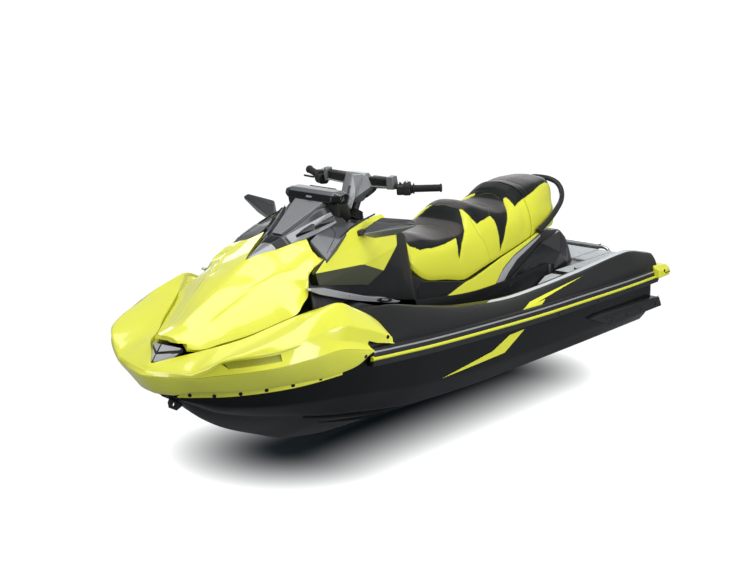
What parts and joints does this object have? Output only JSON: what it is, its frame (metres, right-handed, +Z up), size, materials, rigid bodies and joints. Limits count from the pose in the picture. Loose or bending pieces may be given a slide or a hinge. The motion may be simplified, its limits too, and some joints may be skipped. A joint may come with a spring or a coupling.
{
  "type": "personal watercraft",
  "caption": "Three-seat runabout personal watercraft with V hull, steered jet pump, tilting hood, lift-off seats, footwells, rear platform and fold-down boarding step.",
  "frame": {"origin": "on the centre plane amidships at the waterline", "axes": "+X towards the bow, +Y to port, +Z up"},
  "size_m": [3.58, 1.194, 1.2548],
  "materials": {
    "lime_gloss": "gloss lime yellow",
    "hull_dark": "gloss gel coat, near black",
    "deck_dark": "satin black moulding",
    "black_matte": "matte black",
    "cowl_grey": "satin metallic grey",
    "visor_black": "gloss black",
    "screen_glass": "dark display glass",
    "bumper_rubber": "satin rubber",
    "seat_vinyl": "embossed vinyl",
    "mat_grey": "brushed foam mat",
    "pump_alloy": "cast alloy",
    "stainless": "polished stainless",
    "bar_black": "powder coat",
    "grip_rubber": "ribbed rubber",
    "engine_grey": "plain block",
    "silver_trim": "silver paint",
    "bin_plastic": "rough moulding"
  },
  "bodies": {
    "craft": {"lower_hull": "hull_dark", "deck": "deck_dark", "footwell_liners": "deck_dark", "intake_duct": "black_matte", "bow_storage_bin": "bin_plastic", "engine_block": "engine_grey", "bow_fairing": "lime_gloss", "nose_fender": "lime_gloss", "nose_insert": "silver_trim", "console": "deck_dark", "front_cowl": "cowl_grey", "display_visor": "visor_black", "display_screen": "screen_glass", "side_cover_port": "lime_gloss", "side_cover_starboard": "lime_gloss", "cockpit_side_trims": "silver_trim", "mirror_port": "cowl_grey", "mirror_starboard": "cowl_grey", "steering_boot": "grip_rubber", "seat_base": "deck_dark", "seat_base_trims": "lime_gloss", "grab_rail": "stainless", "aft_deck_mats": "mat_grey", "footwell_mats": "mat_grey", "rub_rails": "bumper_rubber", "stern_corner_caps": "lime_gloss", "sponson_port": "black_matte", "sponson_starboard": "black_matte", "bow_eye": "stainless", "stern_eyes": "stainless", "ride_plate": "pump_alloy", "intake_grate": "pump_alloy", "pump_housing": "pump_alloy", "jet_outlet": "pump_alloy", "step_brackets": "stainless"},
    "hood": {"hood": "lime_gloss"},
    "glovebox_lid": {"glovebox_lid": "deck_dark"},
    "front_seat": {"front_seat": "seat_vinyl"},
    "rear_seat": {"rear_seat": "seat_vinyl"},
    "handlebar": {"handlebar": "bar_black", "steering_column": "bar_black", "handlebar_cover": "cowl_grey", "grip_port": "grip_rubber", "grip_starboard": "grip_rubber", "switch_pod_port": "black_matte", "throttle_pod_starboard": "black_matte", "throttle_lever": "black_matte"},
    "trim_ring": {"trim_ring": "pump_alloy"},
    "steering_nozzle": {"steering_nozzle": "pump_alloy"},
    "reverse_bucket": {"reverse_bucket": "pump_alloy"},
    "impeller": {"impeller": "stainless", "drive_shaft": "stainless"},
    "boarding_step": {"boarding_step": "stainless"}
  },
  "joints": [
    {"name": "hood_hinge", "type": "hinge", "parent": "craft", "child": "hood", "pos_m": [1.668, 0, 0.426], "axis": [0, 1, 0], "range_deg": [0, 60]},
    {"name": "glovebox_lid_hinge", "type": "hinge", "parent": "craft", "child": "glovebox_lid", "pos_m": [0.332, 0, 0.6805], "axis": [0, 1, 0], "range_deg": [0, 60]},
    {"name": "front_seat_lift", "type": "slide", "parent": "craft", "child": "front_seat", "axis": [0, 0, 1], "range_m": [0, 0.2]},
    {"name": "rear_seat_lift", "type": "slide", "parent": "craft", "child": "rear_seat", "axis": [0, 0, 1], "range_m": [0, 0.2]},
    {"name": "handlebar_steer", "type": "hinge", "parent": "craft", "child": "handlebar", "pos_m": [0.372, 0, 0.75], "axis": [-0.4508, 0, 0.8926], "range_deg": [-22, 22]},
    {"name": "nozzle_trim", "type": "hinge", "parent": "craft", "child": "trim_ring", "pos_m": [-1.575, 0, -0.125], "axis": [0, 1, 0], "range_deg": [-8, 8]},
    {"name": "nozzle_steer", "type": "hinge", "parent": "trim_ring", "child": "steering_nozzle", "pos_m": [-1.575, 0, -0.125], "axis": [0, 0, 1], "range_deg": [-20, 20]},
    {"name": "reverse_bucket_swing", "type": "hinge", "parent": "craft", "child": "reverse_bucket", "pos_m": [-1.605, 0, -0.125], "axis": [0, -1, 0], "range_deg": [0, 80]},
    {"name": "impeller_spin", "type": "hinge", "parent": "craft", "child": "impeller", "pos_m": [-1.29, 0, -0.125], "axis": [1, 0, 0], "continuous": true},
    {"name": "boarding_step_fold", "type": "hinge", "parent": "craft", "child": "boarding_step", "pos_m": [-1.722, 0, 0.11], "axis": [0, -1, 0], "range_deg": [0, 165]}
  ],
  "couplings": [
    {"joint": "nozzle_steer", "follows": "handlebar_steer", "ratio": -0.9}
  ]
}
